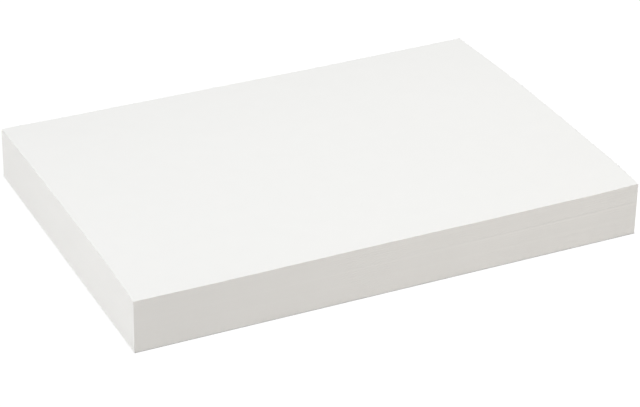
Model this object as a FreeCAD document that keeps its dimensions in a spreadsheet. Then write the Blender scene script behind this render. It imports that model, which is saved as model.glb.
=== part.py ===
import FreeCAD, Part
import math
import os
import Sketcher

# A ream of watercolor paper: one hundred loose A4 sheets squared up into one stack.
#
# Every sheet is a body of its own, and the ream is counted out in twenty quires of five sheets.
# The bottom quire is pressed flat. The sheets above it spring up in the middle, each a little more
# than the one below, and stay down along both long edges: across its width a sheet is an arc, a
# level middle and another arc, and it springs higher at the right end than at the left. The upper
# quires were set down as one lift, turned by a hair about the front left corner, and that leaves a
# seam in the cut edges of the stack.
#
# Millimetres. The origin is on the table under the middle of the stack, +X runs to the right along
# the long edges, +Y from the front edge to the back edge, +Z up.

DIMENSIONS = (
    ("sheet_length", 297.0, "long side of an A4 sheet"),
    ("sheet_width", 210.0, "short side of an A4 sheet"),
    ("sheet_thickness", 0.29, "one sheet of 200 g/m2"),
    ("air_gap", 0.0135, "air that the tooth of the paper keeps between two sheets"),
    ("seam_gap", 0.08, "air between the lower lift and the upper one"),
    ("sheets_per_quire", 5, "sheets in one quire"),
    ("quire_count", 20, "quires in the ream"),
    ("lower_quires", 13, "quires below the seam"),
    ("lift_twist", 0.02, "degrees that the upper lift is turned from the lower one"),
    ("crown_left", 2.2, "how far the top sheet springs up at its left end"),
    ("crown_right", 3.0, "how far the top sheet springs up at its right end"),
    ("front_shoulder", 50.0, "width of the arc beside the front edge"),
    ("back_shoulder", 90.0, "width of the arc beside the back edge"),
)

# Sketcher's numbers for the points of a curve, and for the origin of a sketch.
START, END, CENTRE = range(1, 4)
ORIGIN_POINT = (-1, START)

UPRIGHT = math.pi / 2
FRONT_LEFT_CORNER = "vector(-Dims.sheet_length / 2; -Dims.sheet_width / 2; 0)"
LIFT_ROTATION = "rotation(vector(0; 0; 1); Dims.lift_twist)"


def add_dimension_sheet(doc):
    """Write the driving dimensions into a spreadsheet, one named cell each."""
    dims = doc.addObject("Spreadsheet::Sheet", "Dims")
    for row, (alias, value, meaning) in enumerate(DIMENSIONS, start=1):
        dims.set(f"A{row}", alias)
        dims.set(f"B{row}", str(value))
        dims.set(f"C{row}", meaning)
        dims.setAlias(f"B{row}", alias)
    doc.recompute()
    return dims


def add_sketch(body, name, plane):
    """Attach an empty sketch to one of the body's origin planes."""
    support = next(item for item in body.Origin.OriginFeatures if item.Role == plane)
    sketch = body.newObject("Sketcher::SketchObject", name)
    sketch.AttachmentSupport = (support, [""])
    sketch.MapMode = "FlatFace"
    return sketch


def add_distances(sketch, distances):
    """Hold pairs of points apart by distances that the spreadsheet drives."""
    constraints = []
    for direction, first, second, expression in distances:
        value = float(sketch.evalExpression(expression))
        constraints.append(Sketcher.Constraint(direction, *first, *second, value))
    indices = sketch.addConstraint(constraints)
    for index, (direction, first, second, expression) in zip(indices, distances):
        sketch.setExpression(f"Constraints[{index}]", expression)


def shoulder_arc(crest, width, crown, side):
    """Arc that leaves the level middle at the crest and falls by the crown over its width.

    The side is 1 towards the front edge, where the arc starts at the crest, and -1 towards the
    back edge, where it ends there.
    """
    radius = (width ** 2 + crown ** 2) / (2 * crown)
    sweep = math.asin(width / radius)
    circle = Part.Circle(crest - FreeCAD.Vector(0, radius, 0), FreeCAD.Vector(0, 0, 1), radius)
    return Part.ArcOfCircle(circle, *sorted((UPRIGHT, UPRIGHT + side * sweep)))


def face_curves(dims, height, crown):
    """Section of one face of a sheet: front arc, level middle and back arc."""
    half_width = dims.sheet_width / 2
    front_crest = FreeCAD.Vector(dims.front_shoulder - half_width, height + crown, 0)
    back_crest = FreeCAD.Vector(half_width - dims.back_shoulder, height + crown, 0)
    return [
        shoulder_arc(front_crest, dims.front_shoulder, crown, 1),
        Part.LineSegment(front_crest, back_crest),
        shoulder_arc(back_crest, dims.back_shoulder, crown, -1),
    ]


def face_constraints(front, middle, back):
    """Keep a face's middle level, its edges at one height and each arc's centre under its crest."""
    return [
        Sketcher.Constraint("Coincident", front, START, middle, START),
        Sketcher.Constraint("Coincident", middle, END, back, END),
        Sketcher.Constraint("Vertical", front, START, front, CENTRE),
        Sketcher.Constraint("Vertical", back, END, back, CENTRE),
        Sketcher.Constraint("Horizontal", middle),
        Sketcher.Constraint("Horizontal", front, END, back, START),
    ]


def face_distances(front, back, height, crown):
    """Place a face's two edges and the crests of its two arcs."""
    return [
        ("DistanceX", (front, END), ORIGIN_POINT, "Dims.sheet_width / 2"),
        ("DistanceX", ORIGIN_POINT, (back, START), "Dims.sheet_width / 2"),
        ("DistanceY", ORIGIN_POINT, (front, END), height),
        ("DistanceX", (front, END), (front, START), "Dims.front_shoulder"),
        ("DistanceX", (back, END), (back, START), "Dims.back_shoulder"),
        ("DistanceY", (front, END), (front, START), crown),
    ]


def add_section(body, dims, name, station, height, crown):
    """Sketch the section of a crowned sheet at one end of the stack."""
    sketch = add_sketch(body, name, "YZ_Plane")
    sketch.setExpression("AttachmentOffset.Base.z", station)
    level = float(sketch.evalExpression(height))
    rise = float(sketch.evalExpression(crown))
    half_width = dims.sheet_width / 2
    upper_level = level + dims.sheet_thickness
    lower_face = sketch.addGeometry(face_curves(dims, level, rise))
    upper_face = sketch.addGeometry(face_curves(dims, upper_level, rise))
    front_cut, back_cut = sketch.addGeometry([
        Part.LineSegment(FreeCAD.Vector(edge, level, 0), FreeCAD.Vector(edge, upper_level, 0))
        for edge in (-half_width, half_width)
    ])
    lower_front, lower_middle, lower_back = lower_face
    upper_front, upper_middle, upper_back = upper_face
    sketch.addConstraint([
        *face_constraints(lower_front, lower_middle, lower_back),
        *face_constraints(upper_front, upper_middle, upper_back),
        Sketcher.Constraint("Coincident", front_cut, START, lower_front, END),
        Sketcher.Constraint("Coincident", front_cut, END, upper_front, END),
        Sketcher.Constraint("Coincident", back_cut, START, lower_back, START),
        Sketcher.Constraint("Coincident", back_cut, END, upper_back, START),
    ])
    add_distances(sketch, [
        *face_distances(lower_front, lower_back, height, crown),
        *face_distances(upper_front, upper_back, f"{height} + Dims.sheet_thickness", crown),
    ])
    return sketch


def add_crowned_sheet(body, dims, number, height):
    """Loft a sheet from its section at the left end to its section at the right end."""
    share = f"{number + 1} / (Dims.quire_count * Dims.sheets_per_quire)"
    left = add_section(
        body, dims, f"LeftEnd{number}", "-Dims.sheet_length / 2", height,
        f"Dims.crown_left * {share}",
    )
    right = add_section(
        body, dims, f"RightEnd{number}", "Dims.sheet_length / 2", height,
        f"Dims.crown_right * {share}",
    )
    loft = body.newObject("PartDesign::AdditiveLoft", f"Paper{number}")
    loft.Profile = left
    loft.Sections = [right]
    loft.Ruled = True


def add_flat_sheet(body, dims, number, height):
    """Pad a sheet of the bottom quire, which lies flat."""
    sketch = add_sketch(body, f"Outline{number}", "XY_Plane")
    sketch.setExpression("AttachmentOffset.Base.z", height)
    half_length = dims.sheet_length / 2
    half_width = dims.sheet_width / 2
    corners = [
        FreeCAD.Vector(-half_length, -half_width, 0),
        FreeCAD.Vector(half_length, -half_width, 0),
        FreeCAD.Vector(half_length, half_width, 0),
        FreeCAD.Vector(-half_length, half_width, 0),
    ]
    following = corners[1:] + corners[:1]
    front, right, back, left = sketch.addGeometry([
        Part.LineSegment(begin, finish) for begin, finish in zip(corners, following)
    ])
    sketch.addConstraint([
        Sketcher.Constraint("Coincident", front, END, right, START),
        Sketcher.Constraint("Coincident", right, END, back, START),
        Sketcher.Constraint("Coincident", back, END, left, START),
        Sketcher.Constraint("Coincident", left, END, front, START),
        Sketcher.Constraint("Horizontal", front),
        Sketcher.Constraint("Horizontal", back),
        Sketcher.Constraint("Vertical", left),
        Sketcher.Constraint("Vertical", right),
        Sketcher.Constraint("Symmetric", front, START, back, START, *ORIGIN_POINT),
    ])
    add_distances(sketch, [
        ("DistanceX", (front, START), (front, END), "Dims.sheet_length"),
        ("DistanceY", (right, START), (right, END), "Dims.sheet_width"),
    ])
    pad = body.newObject("PartDesign::Pad", f"Paper{number}")
    pad.Profile = sketch
    pad.setExpression("Length", "Dims.sheet_thickness")


def add_sheet(doc, dims, number):
    """Build one sheet, counted from 0 at the table."""
    body = doc.addObject("PartDesign::Body", f"Sheet{number}")
    height = f"{number} * (Dims.sheet_thickness + Dims.air_gap)"
    if number >= dims.lower_quires * dims.sheets_per_quire:
        height += " + Dims.seam_gap - Dims.air_gap"
    if number < dims.sheets_per_quire:
        add_flat_sheet(body, dims, number, height)
    else:
        add_crowned_sheet(body, dims, number, height)
    return body


def add_quire(doc, dims, number):
    """Gather the sheets of one quire, counted from 0 at the table."""
    size = int(dims.sheets_per_quire)
    quire = doc.addObject("Part::Compound", f"Quire{number}")
    quire.Label = f"quire_{number + 1:02d}"
    quire.Links = [add_sheet(doc, dims, number * size + place) for place in range(size)]
    if number >= dims.lower_quires:
        quire.setExpression(
            "Placement", f"placement(vector(0; 0; 0); {LIFT_ROTATION}; {FRONT_LEFT_CORNER})"
        )
    return quire


def check_model(doc, dims, quires):
    """Stop before anything is written if an object failed or a quire lacks a sheet."""
    for item in doc.Objects:
        if {"Invalid", "Error"} & set(item.State):
            raise RuntimeError(f"{item.Label} failed: {item.State}")
    for quire in quires:
        if quire.Shape.isNull() or not quire.Shape.isValid():
            raise RuntimeError(f"{quire.Label} has no valid shape")
        if len(quire.Shape.Solids) != dims.sheets_per_quire:
            raise RuntimeError(f"{quire.Label} has {len(quire.Shape.Solids)} sheets")


def main():
    """Build the ream and write one STEP file for each quire."""
    doc = FreeCAD.newDocument("Ream")
    dims = add_dimension_sheet(doc)
    quires = [add_quire(doc, dims, number) for number in range(int(dims.quire_count))]
    doc.recompute()
    check_model(doc, dims, quires)
    os.makedirs("parts", exist_ok=True)
    for quire in quires:
        quire.Shape.exportStep(f"parts/{quire.Label}.step")
    stack = Part.makeCompound([quire.Shape for quire in quires])
    box = stack.BoundBox
    print(f"{len(stack.Solids)} sheets in {len(quires)} quires, {stack.Volume / 1000:.1f} cm3")
    print(f"{box.XLength:.2f} x {box.YLength:.2f} x {box.ZLength:.2f} mm")


main()
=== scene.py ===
"""Ream of watercolor paper: the looks of one hundred loose sheets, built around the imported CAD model.

Metres, in the CAD frame: the stack stands on z = 0 with its long edges along X and its front edge
towards -Y. Every sheet is a closed mesh with its own slight place in the stack. The sheets of one
CAD quire make one piece, and the top sheet, whose tooth is modelled, is a piece of its own.
"""

import math
import random

import bpy
import numpy as np
from mathutils import Matrix, Vector, noise


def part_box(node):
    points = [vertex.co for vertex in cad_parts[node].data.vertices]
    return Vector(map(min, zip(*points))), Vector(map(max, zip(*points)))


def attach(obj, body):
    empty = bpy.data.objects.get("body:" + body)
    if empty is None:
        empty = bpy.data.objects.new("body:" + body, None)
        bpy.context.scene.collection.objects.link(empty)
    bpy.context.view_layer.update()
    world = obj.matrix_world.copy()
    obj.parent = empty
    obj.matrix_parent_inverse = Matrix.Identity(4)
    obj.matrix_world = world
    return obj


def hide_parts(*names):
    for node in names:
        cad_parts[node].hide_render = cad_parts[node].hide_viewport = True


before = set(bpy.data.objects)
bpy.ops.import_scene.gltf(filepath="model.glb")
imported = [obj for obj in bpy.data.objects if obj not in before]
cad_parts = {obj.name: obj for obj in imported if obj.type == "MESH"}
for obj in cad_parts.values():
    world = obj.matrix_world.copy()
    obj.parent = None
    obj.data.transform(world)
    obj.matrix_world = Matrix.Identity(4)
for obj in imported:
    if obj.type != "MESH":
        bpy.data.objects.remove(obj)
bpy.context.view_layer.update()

# ---------------------------------------------------------------- sizes

SHEETS_PER_QUIRE = 5
LOWER_QUIRES = 13  # quires below the seam

EDGE_ROUNDING = 0.045e-3  # radius that the guillotine leaves on a cut edge
JOG = 0.015e-3  # most that a sheet lies out of line at the front left corner
JOG_TURN = 0.0001  # radians that a sheet lies turned about that corner, at most
PAINTED_HIGHLIGHT_SHEETS = (59, 60, 61, 65)  # the cut edges of these sheets are painted palest: painted highlights by the seam between the lifts, a bright line a little below it and the first sheet above it
LEAN = Vector((0.42e-3, -0.13e-3, 0))  # how far the whole stack leans, foot to top
COCKLE = 0.05e-3  # height of the long waves that the top sheets lie in
COCKLE_ALONG = (41.0, 0.7)  # radians a metre, and phase, of those that run along the sheets
COCKLE_ACROSS = (29.0, 1.9)  # and of those that run across them
COCKLE_SLANT = (67.0, -53.0)  # radians a metre along and across, of slanting waves half as high

# Where the border of the top sheet springs up or sags: x and y in half sizes from the middle, then
# height and reach.
CURLS = [
    ((1.0, -1.0), 0.65e-3, 20e-3),
    ((1.0, -0.55), -0.42e-3, 24e-3),
    ((1.0, 1.0), 0.32e-3, 22e-3),
    ((0.34, 1.0), -0.32e-3, 45e-3),
    ((-0.27, 1.0), -0.19e-3, 45e-3),
    ((-1.0, 1.0), 0.42e-3, 30e-3),
    ((-1.0, -1.0), 0.16e-3, 30e-3),
    ((-0.54, -1.0), -0.1e-3, 30e-3),
    ((0.0, -1.0), 0.23e-3, 40e-3),
    ((0.64, -1.0), 0.15e-3, 25e-3),
]

SWELLING = 0.95  # share of the crown's growth from sheet to sheet that the paper fills
TOP_AIR = 0.016e-3  # air under the top sheet, over what the others have: nothing presses it down
SEAM_CLOSED = -0.1  # x up to which the seam between the lifts is pressed shut
SEAM_OPENING = 0.26  # share of the CAD model's seam gap that is left at the right end

# Rings of points round a cut edge, between its two rims: the face that they start from, the way they
# step away from its level, and how far round the rounding they lie, in degrees.
UPPER_FACE, LOWER_FACE = 0, 1
EDGE_RINGS = ((UPPER_FACE, -1, 45), (UPPER_FACE, -1, 90), (LOWER_FACE, 1, 90), (LOWER_FACE, 1, 45))
RING_PLACES = (0.0, 0.12, 0.24, 0.76, 0.88, 1.0)  # of rims and rings, down their band of the bake map

# Tiles of a sheet's bake map: 0 to 3 are the bands of its cut edges, from the front edge round.
UPPER_TILE, LOWER_TILE = 4, 5
BAND = 0.02  # height of a band
UPPER_SHARE = 0.75  # share of the rest that goes to the upper faces, which show most
MAP_MARGIN = 0.003  # clear rim inside every tile

PLAIN_CELLS = (24, 24)  # faces along and across a sheet inside the stack
TOP_CELLS = (255, 180)  # faces along and across the top sheet
TOOTH_HEIGHT = 0.022e-3  # relief of the top sheet's rough face
TOOTH_LENGTH = 3.2e-3  # size of its widest hollows
TOOTH_FRACTAL = (0.9, 2.1, 2)  # roughness exponent, lacunarity and octaves of the relief

SEED = 20
CUT_TONES = (0.25, 0.75)  # range of the tones of most cut edges, from 0 for dark to 1 for pale
MIDDLE_TONE = 0.5
TONE_SPREAD = (0.3, 1.0)  # share of the difference from it that shows at the left and right ends

# Darkest and palest colour of the paper, on its faces and on its cut edges. The cut edges' colours are
# darker and warmer than the faces': painted shade and painted warm bounce light from between the
# sheets.
FACE_COLORS = ((0.912, 0.914, 0.902), (0.927, 0.929, 0.917))
SHADED_CUT_COLORS = ((0.876, 0.861, 0.830), (0.910, 0.895, 0.864))

# Sockets of a Mix node that blends colours.
MIX_FACTOR, MIX_LOW, MIX_HIGH, MIX_RESULT = 0, 6, 7, 2

# Camera, measured from the middle of the stack's foot.
EYE = Vector((-0.5002, -1.0775, 0.6545))
SIGHT = Vector((0.37161, 0.79326, -0.48234))
LENS = 134.35  # millimetres
ROLL = 0.22  # degrees

ROOM_LIGHT = 0.01  # strength of the even light of the room
FLOOR_REACH = 12.0
FLOOR_DROP = 0.02e-3  # keeps the floor clear of the bottom sheet
FLOOR_GREY = 0.05  # the floor glows, and reflects next to nothing
WALL_HEIGHT = 1.6  # the walls end just above the view of a level camera
FLOOR_GLOW = 1.01
CONTACT_SHADE = 0.035e-3  # distance from the edge of the painted contact shadow at which the floor glows by half
SHADE_SHIFT = (0.05e-3, 0.01e-3)  # moves the painted contact shadow, as the light from behind and the left would move a real one

# Lamps: name, centre, point it faces, width and height, radiance in each colour.
SOFTBOXES = [
    ("overhead", (0.13, -0.07, 1.5), (0.13, -0.07, 0.0), (0.32, 0.32), (55.3, 55.0, 54.5)),
    ("left", (-0.91, -0.18, 0.31), (-0.15, 0.0, 0.03), (0.3, 0.5), (5.6, 5.75, 5.95)),
    ("front", (0.12, -0.52, 0.085), (0.05, -0.1, 0.03), (0.2, 0.14), (3.3, 3.07, 2.82)),
    ("right", (1.5, 0.5, 0.5), (0.0, 0.0, 0.03), (1.0, 0.7), (1.5, 1.5, 1.5)),
    ("back", (-0.7, 1.4, 0.5), (0.0, 0.0, 0.03), (1.0, 0.7), (1.5, 1.5, 1.5)),
]


class Stack:
    """Sizes of the stack, read from the CAD nodes."""

    def __init__(self):
        self.quires = sorted(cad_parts)
        low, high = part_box(self.quires[0])
        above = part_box(self.quires[1])[0].z
        self.length = high.x - low.x
        self.width = high.y - low.y
        self.left = low.x
        self.front = low.y
        self.pitch = above / SHEETS_PER_QUIRE
        self.thickness = self.pitch - (above - high.z)
        self.count = SHEETS_PER_QUIRE * len(self.quires)
        self.twist = (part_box(self.quires[-1])[1].y - high.y) / self.length
        self.read_crown()

    def read_crown(self):
        """Find how far the top sheet springs up at each end, and how wide its shoulders are."""
        end_reach, crest_tolerance = 1e-3, 1e-6
        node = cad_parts[self.quires[-1]]
        points = [node.matrix_world @ vertex.co for vertex in node.data.vertices]
        edge_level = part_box(self.quires[-1])[0].z + self.thickness
        edge_level += (SHEETS_PER_QUIRE - 1) * self.pitch
        ends = {
            side: [point for point in points if side * point.x > self.length / 2 - end_reach]
            for side in (-1, 1)
        }
        levels = {side: max(point.z for point in ends[side]) for side in ends}
        crest = [point.y for point in ends[1] if point.z > levels[1] - crest_tolerance]
        self.crown_left = levels[-1] - edge_level
        self.crown_right = levels[1] - edge_level
        self.front_shoulder = min(crest) - self.front
        self.back_shoulder = self.front + self.width - max(crest)

    def base(self, number, x):
        """Height of a sheet's lower face at its long edges, over the table."""
        quire, place = divmod(number, SHEETS_PER_QUIRE)
        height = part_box(self.quires[quire])[0].z + place * self.pitch
        if quire < LOWER_QUIRES:
            return height
        gap = height - number * self.pitch
        along = np.clip((x - SEAM_CLOSED) / (self.left + self.length - SEAM_CLOSED), 0, 1)
        return height - gap * (1 - SEAM_OPENING * along)

    def rise(self, number, x, y):
        """How far a sheet springs up at points of the plan, as numpy arrays."""
        if number < SHEETS_PER_QUIRE:
            return np.zeros_like(x)
        share = (number + 1) / self.count
        along = (x - self.left) / self.length
        crown = self.crown_left + (self.crown_right - self.crown_left) * along
        from_front = np.clip((y - self.front) / self.front_shoulder, 0, 1)
        from_back = np.clip((self.front + self.width - y) / self.back_shoulder, 0, 1)
        profile = (1 - (1 - from_front) ** 2) * (1 - (1 - from_back) ** 2)
        waves = np.sin(x * COCKLE_ALONG[0] + COCKLE_ALONG[1])
        waves *= np.sin(y * COCKLE_ACROSS[0] + COCKLE_ACROSS[1])
        waves += 0.5 * np.sin(x * COCKLE_SLANT[0] + y * COCKLE_SLANT[1])
        return share * (crown * profile + self.curl(x, y) + COCKLE * waves)

    def curl(self, x, y):
        """Small rises and sags of the border of the top sheet, at points of the plan."""
        curl = np.zeros_like(x)
        for (across, along), height, reach in CURLS:
            centre_x = self.left + self.length * (1 + across) / 2
            centre_y = self.front + self.width * (1 + along) / 2
            curl += height * np.exp(-((x - centre_x) ** 2 + (y - centre_y) ** 2) / reach**2)
        return curl


# ---------------------------------------------------------------- meshes


class Border:
    """The border points of a grid, once round from its front left corner.

    Each point has its index in the grid and its direction outward. The step from it to the next
    point belongs to one of the four sides, starts at a share of that side's length and takes up
    another share of it.
    """

    def __init__(self, columns, rows):
        across = rows + 1
        side_steps = [columns, rows, columns, rows]
        last_column = columns * across
        points = [(column * across, (0, -1)) for column in range(columns)]
        points += [(last_column + row, (1, 0)) for row in range(rows)]
        points += [(column * across + rows, (0, 1)) for column in range(columns, 0, -1)]
        points += [(row, (-1, 0)) for row in range(rows, 0, -1)]
        self.indices = np.array([index for index, direction in points])
        self.outward = np.array([direction for index, direction in points], dtype=float)
        self.corners = np.array([0, columns, columns + rows, 2 * columns + rows])
        self.outward[self.corners] += self.outward[self.corners - 1]
        self.sides = np.repeat(range(4), side_steps)
        steps = np.take(side_steps, self.sides)
        self.along = (np.arange(len(points)) - self.corners[self.sides]) / steps
        self.step = 1 / steps


class Sheet:
    """One closed sheet with rounded cut edges: points, faces, their kinds and their bake map.

    It follows the sheets below where it lies. Sheets inside the stack swell into the air under the
    crown, and the top sheet has the relief of its tooth instead.
    """

    def __init__(self, stack, number, cells, placing, tone, relief=None):
        columns, rows = cells
        self.tone = tone
        right = stack.left + stack.length
        back = stack.front + stack.width
        x, y = np.meshgrid(
            np.linspace(stack.left + EDGE_ROUNDING, right - EDGE_ROUNDING, columns + 1),
            np.linspace(stack.front + EDGE_ROUNDING, back - EDGE_ROUNDING, rows + 1),
            indexing="ij",
        )
        x, y = x.ravel(), y.ravel()
        placed = placing[:2, :2] @ np.stack([x, y]) + placing[:2, 3:]
        lower = stack.base(number, placed[0]) + stack.rise(number, *placed)
        if relief is None:
            growth = stack.rise(number + 1, *placed) - stack.rise(number, *placed)
            upper = lower + stack.thickness + SWELLING * growth
        else:
            lower += TOP_AIR
            upper = lower + stack.thickness + relief(x, y)
        self.points = [np.stack([x, y, upper], axis=1), np.stack([x, y, lower], axis=1)]
        self.border = Border(columns, rows)
        rings = self.add_rings(len(x))
        self.points = np.concatenate(self.points) @ placing[:3, :3].T + placing[:3, 3]
        self.rim = np.zeros(len(self.points), dtype=bool)
        self.rim[np.concatenate([rings[0], rings[-1]])] = True
        self.corner = np.zeros(len(self.points), dtype=bool)
        self.corner[np.array(rings)[:, self.border.corners]] = True
        self.add_faces(columns, rows, rings, len(x))

    def add_rings(self, face_points):
        """Add the points round the cut edge, and return all rings from the upper rim to the lower."""
        border = self.border.indices
        rings = [border]
        for face, direction, degrees in EDGE_RINGS:
            angle = math.radians(degrees)
            ring = self.points[face][border].copy()
            ring[:, :2] += EDGE_ROUNDING * math.sin(angle) * self.border.outward
            ring[:, 2] += direction * EDGE_ROUNDING * (1 - math.cos(angle))
            rings.append(sum(len(block) for block in self.points) + np.arange(len(border)))
            self.points.append(ring)
        return rings + [border + face_points]

    def add_faces(self, columns, rows, rings, face_points):
        """Add the faces, the tile that each has in the bake map, and its corners' places there."""
        column, row = np.divmod(np.arange(columns * rows), rows)
        steps = ((0, 0), (1, 0), (1, 1), (0, 1))
        upper = np.stack([(column + a) * (rows + 1) + row + b for a, b in steps], axis=1)
        places = np.stack([((column + a) / columns, (row + b) / rows) for a, b in steps])
        places = places.transpose(2, 0, 1)
        flipped = [0, 3, 2, 1]  # starts where the upper face does, so both split along one diagonal
        faces, maps = [upper, upper[:, flipped] + face_points], [places, places[:, flipped]]
        tiles = [np.full(len(upper), UPPER_TILE), np.full(len(upper), LOWER_TILE)]
        start, end = self.border.along, self.border.along + self.border.step
        for first, second, top, bottom in zip(rings, rings[1:], RING_PLACES, RING_PLACES[1:]):
            faces.append(np.stack([first, second, np.roll(second, -1), np.roll(first, -1)], axis=1))
            corners = ((start, top), (start, bottom), (end, bottom), (end, top))
            corners = [np.stack([u, np.full(len(u), v)], axis=1) for u, v in corners]
            maps.append(np.stack(corners, axis=1))
            tiles.append(self.border.sides)
        self.faces = np.concatenate(faces)
        self.map = np.concatenate(maps)
        self.tiles = np.concatenate(tiles)
        self.kinds = (self.tiles < UPPER_TILE).astype(int)

    def bake_map(self, place, count):
        """Places of the faces' corners on the bake map of a piece that holds several sheets.

        The cut edges have long bands at the foot of the map, and the faces share what is above.
        """
        bands = 4 * count * BAND
        upper_height = UPPER_SHARE * (1 - bands)
        lower_height = (1 - UPPER_SHARE) * (1 - bands)
        low = [(0, (4 * place + side) * BAND) for side in range(4)]
        low += [(place / count, bands), (place / count, bands + upper_height)]
        size = [(1, BAND)] * 4 + [(1 / count, upper_height), (1 / count, lower_height)]
        low, size = np.array(low) + MAP_MARGIN, np.array(size) - 2 * MAP_MARGIN
        return low[self.tiles][:, None] + size[self.tiles][:, None] * self.map


def place_in_stack(stack, number, generator):
    """A small shift, and a turn about the corner against which the stack was knocked up."""
    shift = Vector((generator.uniform(-JOG, JOG), generator.uniform(-JOG, JOG), 0))
    shift += LEAN * (number / stack.count - 0.5)
    turn = generator.uniform(-JOG_TURN, JOG_TURN)
    if number >= LOWER_QUIRES * SHEETS_PER_QUIRE:
        turn += stack.twist
    corner = Matrix.Translation((stack.left, stack.front, 0))
    turning = corner @ Matrix.Rotation(turn, 4, "Z") @ corner.inverted()
    return np.array(Matrix.Translation(shift) @ turning)


def make_piece(name, sheets, materials):
    """Join sheets into one mesh object, smooth but for their rims and corners, each with its tone."""
    counts = np.cumsum([0] + [len(sheet.points) for sheet in sheets])
    mesh = bpy.data.meshes.new(name)
    mesh.from_pydata(
        np.concatenate([sheet.points for sheet in sheets]).tolist(),
        [],
        np.concatenate([sheet.faces + start for sheet, start in zip(sheets, counts)]).tolist(),
    )
    mesh.polygons.foreach_set("material_index", np.concatenate([sheet.kinds for sheet in sheets]))
    mesh.shade_smooth()
    ends = np.empty(2 * len(mesh.edges), dtype=np.int32)
    mesh.edges.foreach_get("vertices", ends)
    ends = ends.reshape(-1, 2)
    sharp = np.zeros(len(mesh.edges), dtype=bool)
    for marks in ([sheet.rim for sheet in sheets], [sheet.corner for sheet in sheets]):
        sharp |= np.concatenate(marks)[ends].all(axis=1)
    mesh.edges.foreach_set("use_edge_sharp", sharp)
    # the tone carries each sheet's own random tone and, on a few sheets near the seam, a painted
    # highlight
    tone = mesh.attributes.new("tone", "FLOAT", "POINT")
    tones = np.repeat([sheet.tone for sheet in sheets], np.diff(counts))
    tone.data.foreach_set("value", tones.astype(np.float32))
    bake_map = [sheet.bake_map(place, len(sheets)) for place, sheet in enumerate(sheets)]
    layer = mesh.uv_layers.new(name="OFBake")
    layer.uv.foreach_set("vector", np.concatenate(bake_map).astype(np.float32).ravel())
    for material in materials:
        mesh.materials.append(material)
    piece = bpy.data.objects.new(name, mesh)
    bpy.context.collection.objects.link(piece)
    return piece


def tooth(x, y):
    """Relief of rough watercolor paper: shallow, rounded hollows."""
    heights = np.empty(len(x))
    for index, (across, along) in enumerate(zip(x / TOOTH_LENGTH, y / TOOTH_LENGTH)):
        heights[index] = noise.fractal((across, along, 0.0), *TOOTH_FRACTAL)
    return TOOTH_HEIGHT * np.clip(heights, -1, 1)


def build_ream(stack, materials):
    """Build every sheet, join each quire's sheets into a piece under the root body, and hide the CAD
    node that they replace.
    """
    generator = random.Random(SEED)
    top_number = stack.count - 1
    pieces = []
    for quire, node in enumerate(stack.quires):
        sheets = []
        for number in range(quire * SHEETS_PER_QUIRE, (quire + 1) * SHEETS_PER_QUIRE):
            placing = place_in_stack(stack, number, generator)
            tone = generator.uniform(*CUT_TONES)
            # painted highlight: these sheets' cut edges get the palest tone
            if number in PAINTED_HIGHLIGHT_SHEETS:
                tone = 1.0
            if number == top_number:
                sheets.append(Sheet(stack, number, TOP_CELLS, placing, tone, tooth))
            else:
                sheets.append(Sheet(stack, number, PLAIN_CELLS, placing, tone))
        if quire == len(stack.quires) - 1:
            pieces.append((make_piece("top_sheet", [sheets.pop()], materials), node))
        pieces.append((make_piece(f"{node}_sheets", sheets, materials), node))
    for piece, node in pieces:
        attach(piece, "root")
        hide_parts(node)


# ---------------------------------------------------------------- materials


def new_material(name):
    """A material with only a Principled shader, and its node tree."""
    material = bpy.data.materials.new(name)
    material.use_nodes = True
    tree = material.node_tree
    shader = tree.nodes["Principled BSDF"]
    return material, tree, shader


def add_node(tree, kind, values=(), **settings):
    """Add a node, set its properties and its plain input values."""
    node = tree.nodes.new(kind)
    for setting, value in settings.items():
        setattr(node, setting, value)
    for name, value in dict(values).items():
        node.inputs[name].default_value = value
    return node


def add_math(tree, operation, *operands):
    """A math node whose operands are sockets or numbers."""
    node = add_node(tree, "ShaderNodeMath", operation=operation)
    for slot, operand in zip(node.inputs, operands):
        if isinstance(operand, (int, float)):
            slot.default_value = operand
        else:
            tree.links.new(operand, slot)
    return node.outputs["Value"]


def object_noise(tree, scale, detail, roughness=0.5, squeeze=(1, 1, 1)):
    """Noise in the object's own coordinates, squeezed along its axes."""
    coordinates = add_node(tree, "ShaderNodeTexCoord")
    mapping = add_node(tree, "ShaderNodeMapping", {"Scale": squeeze})
    texture = add_node(
        tree, "ShaderNodeTexNoise", {"Scale": scale, "Detail": detail, "Roughness": roughness}
    )
    tree.links.new(coordinates.outputs["Object"], mapping.inputs["Vector"])
    tree.links.new(mapping.outputs["Vector"], texture.inputs["Vector"])
    return texture


def mix_colors(tree, factor, low, high):
    """Blend two colours by a factor socket."""
    mix = add_node(tree, "ShaderNodeMix", data_type="RGBA")
    mix.inputs[MIX_LOW].default_value = (*low, 1)
    mix.inputs[MIX_HIGH].default_value = (*high, 1)
    tree.links.new(factor, mix.inputs[MIX_FACTOR])
    return mix.outputs[MIX_RESULT]


def add_bump(tree, height, distance, strength, normal=None):
    """Bump from a height socket, on top of another bump if there is one."""
    bump = add_node(tree, "ShaderNodeBump", {"Distance": distance, "Strength": strength})
    tree.links.new(height, bump.inputs["Height"])
    if normal is not None:
        tree.links.new(normal, bump.inputs["Normal"])
    return bump.outputs["Normal"]


def paper_face_material():
    """Matt white paper with the soft, irregular tooth of a felt-pressed sheet."""
    material, tree, shader = new_material("paper_face")
    shader.inputs["Roughness"].default_value = 0.92
    shader.inputs["Specular IOR Level"].default_value = 0.25
    mottle = object_noise(tree, scale=90, detail=3)
    color = mix_colors(tree, mottle.outputs["Fac"], *FACE_COLORS)
    tree.links.new(color, shader.inputs["Base Color"])
    hollows = object_noise(tree, scale=620, detail=3, roughness=0.55)
    fibres = object_noise(tree, scale=2200, detail=3, roughness=0.6)
    normal = add_bump(tree, hollows.outputs["Fac"], distance=0.05e-3, strength=0.5)
    normal = add_bump(tree, fibres.outputs["Fac"], distance=0.02e-3, strength=0.8, normal=normal)
    tree.links.new(normal, shader.inputs["Normal"])
    return material


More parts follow.
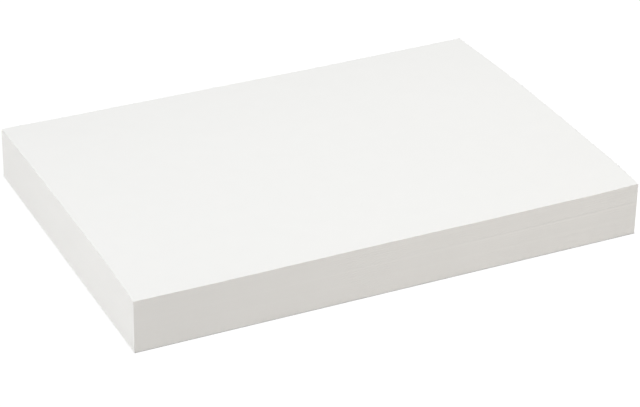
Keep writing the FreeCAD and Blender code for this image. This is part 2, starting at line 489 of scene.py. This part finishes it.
def paper_cut_material(stack):
    """The cut edge of the same paper, fibrous, in a darker and warmer copy of its colour that paints
    shade and warm bounce light from between the sheets, with tones that differ more to the right.
    """
    material, tree, shader = new_material("paper_cut_edge")
    shader.inputs["Roughness"].default_value = 0.95
    shader.inputs["Specular IOR Level"].default_value = 0.15
    tone = add_node(tree, "ShaderNodeAttribute", attribute_name="tone")
    coordinates = add_node(tree, "ShaderNodeTexCoord")
    split = add_node(tree, "ShaderNodeSeparateXYZ")
    tree.links.new(coordinates.outputs["Object"], split.inputs["Vector"])
    spread = add_node(tree, "ShaderNodeMapRange", {
        "From Min": stack.left,
        "From Max": stack.left + stack.length,
        "To Min": TONE_SPREAD[0],
        "To Max": TONE_SPREAD[1],
    })
    tree.links.new(split.outputs["X"], spread.inputs["Value"])
    from_middle = add_math(tree, "SUBTRACT", tone.outputs["Fac"], MIDDLE_TONE)
    factor = add_math(tree, "MULTIPLY_ADD", from_middle, spread.outputs["Result"], MIDDLE_TONE)
    # painted shade and warm bounce light: the cut edges' colours are darker and warmer than the faces'
    color = mix_colors(tree, factor, *SHADED_CUT_COLORS)
    tree.links.new(color, shader.inputs["Base Color"])
    fibres = object_noise(tree, scale=2600, detail=4, roughness=0.6, squeeze=(1, 1, 2.5))
    normal = add_bump(tree, fibres.outputs["Fac"], distance=0.015e-3, strength=0.6)
    tree.links.new(normal, shader.inputs["Normal"])
    return material


# ---------------------------------------------------------------- stage


def glow_beside(tree, centre, half_size):
    """A factor that is 0 under a rectangle and soon comes near 1 beside it: it paints the contact
    shadow into the floor's glow.
    """
    coordinates = add_node(tree, "ShaderNodeTexCoord")
    split = add_node(tree, "ShaderNodeSeparateXYZ")
    tree.links.new(coordinates.outputs["Object"], split.inputs["Vector"])
    distances = []
    for axis, middle, half in zip(split.outputs, centre, half_size):
        from_middle = add_math(tree, "ABSOLUTE", add_math(tree, "SUBTRACT", axis, middle))
        distances.append(add_math(tree, "SUBTRACT", from_middle, half))
    outside = add_math(tree, "MAXIMUM", add_math(tree, "MAXIMUM", *distances), 0.0)
    return add_math(tree, "DIVIDE", outside, add_math(tree, "ADD", outside, CONTACT_SHADE))


def make_floor(stack):
    """A plain white studio floor with low walls, which glows except in a painted contact shadow at the
    stack's foot.
    """
    corners = [(-FLOOR_REACH, -FLOOR_REACH), (FLOOR_REACH, -FLOOR_REACH)]
    corners += [(-x, -y) for x, y in corners]
    points = [(x, y, z) for z in (0, WALL_HEIGHT) for x, y in corners]
    walls = [(side, side + 4, (side + 1) % 4 + 4, (side + 1) % 4) for side in range(4)]
    mesh = bpy.data.meshes.new("floor")
    mesh.from_pydata(points, [], [(0, 1, 2, 3)] + walls)
    floor = bpy.data.objects.new("floor", mesh)
    floor.location.z = -FLOOR_DROP
    bpy.context.collection.objects.link(floor)
    material, tree, shader = new_material("studio_floor")
    shader.inputs["Base Color"].default_value = (FLOOR_GREY, FLOOR_GREY, FLOOR_GREY, 1)
    shader.inputs["Roughness"].default_value = 1.0
    shader.inputs["Specular IOR Level"].default_value = 0.0
    shader.inputs["Emission Color"].default_value = (1, 1, 1, 1)
    half = (stack.length / 2, stack.width / 2)
    centre = (stack.left + half[0] + SHADE_SHIFT[0], stack.front + half[1] + SHADE_SHIFT[1])
    # painted contact shadow: the floor's glow is cut off under and beside the stack
    glow = add_math(tree, "MULTIPLY", glow_beside(tree, centre, half), FLOOR_GLOW)
    tree.links.new(glow, shader.inputs["Emission Strength"])
    mesh.materials.append(material)


def add_softbox(name, centre, target, size, radiance):
    """A rectangular diffuse lamp that faces a target, with its radiance given for each colour."""
    width, height = size
    brightest = max(radiance)
    light = bpy.data.lights.new(name, "AREA")
    light.shape = "RECTANGLE"
    light.size = width
    light.size_y = height
    light.energy = brightest * math.pi * width * height
    light.color = [channel / brightest for channel in radiance]
    lamp = bpy.data.objects.new(name, light)
    lamp.location = centre
    lamp.rotation_mode = "QUATERNION"
    lamp.rotation_quaternion = (Vector(target) - Vector(centre)).to_track_quat("-Z", "Y")
    lamp.visible_camera = False
    bpy.context.collection.objects.link(lamp)


def light_scene():
    """Light the stack with the softboxes and a dim, even room."""
    world = bpy.data.worlds.new("studio")
    bpy.context.scene.world = world
    world.use_nodes = True
    background = world.node_tree.nodes["Background"]
    background.inputs["Color"].default_value = (1, 1, 1, 1)
    background.inputs["Strength"].default_value = ROOM_LIGHT
    for softbox in SOFTBOXES:
        add_softbox(*softbox)


def place_camera():
    """A long lens above the front left corner."""
    data = bpy.data.cameras.new("camera")
    data.lens = LENS
    data.clip_start = 0.01
    data.clip_end = 100
    camera = bpy.data.objects.new("camera", data)
    camera.location = EYE
    camera.rotation_mode = "QUATERNION"
    look = SIGHT.to_track_quat("-Z", "Y")
    camera.rotation_quaternion = look @ Matrix.Rotation(math.radians(ROLL), 4, "Z").to_quaternion()
    bpy.context.collection.objects.link(camera)
    bpy.context.scene.camera = camera


# ---------------------------------------------------------------- scene

ream = Stack()
place_camera()
light_scene()
make_floor(ream)
build_ream(ream, [paper_face_material(), paper_cut_material(ream)])
bpy.context.scene.view_settings.view_transform = "Standard"
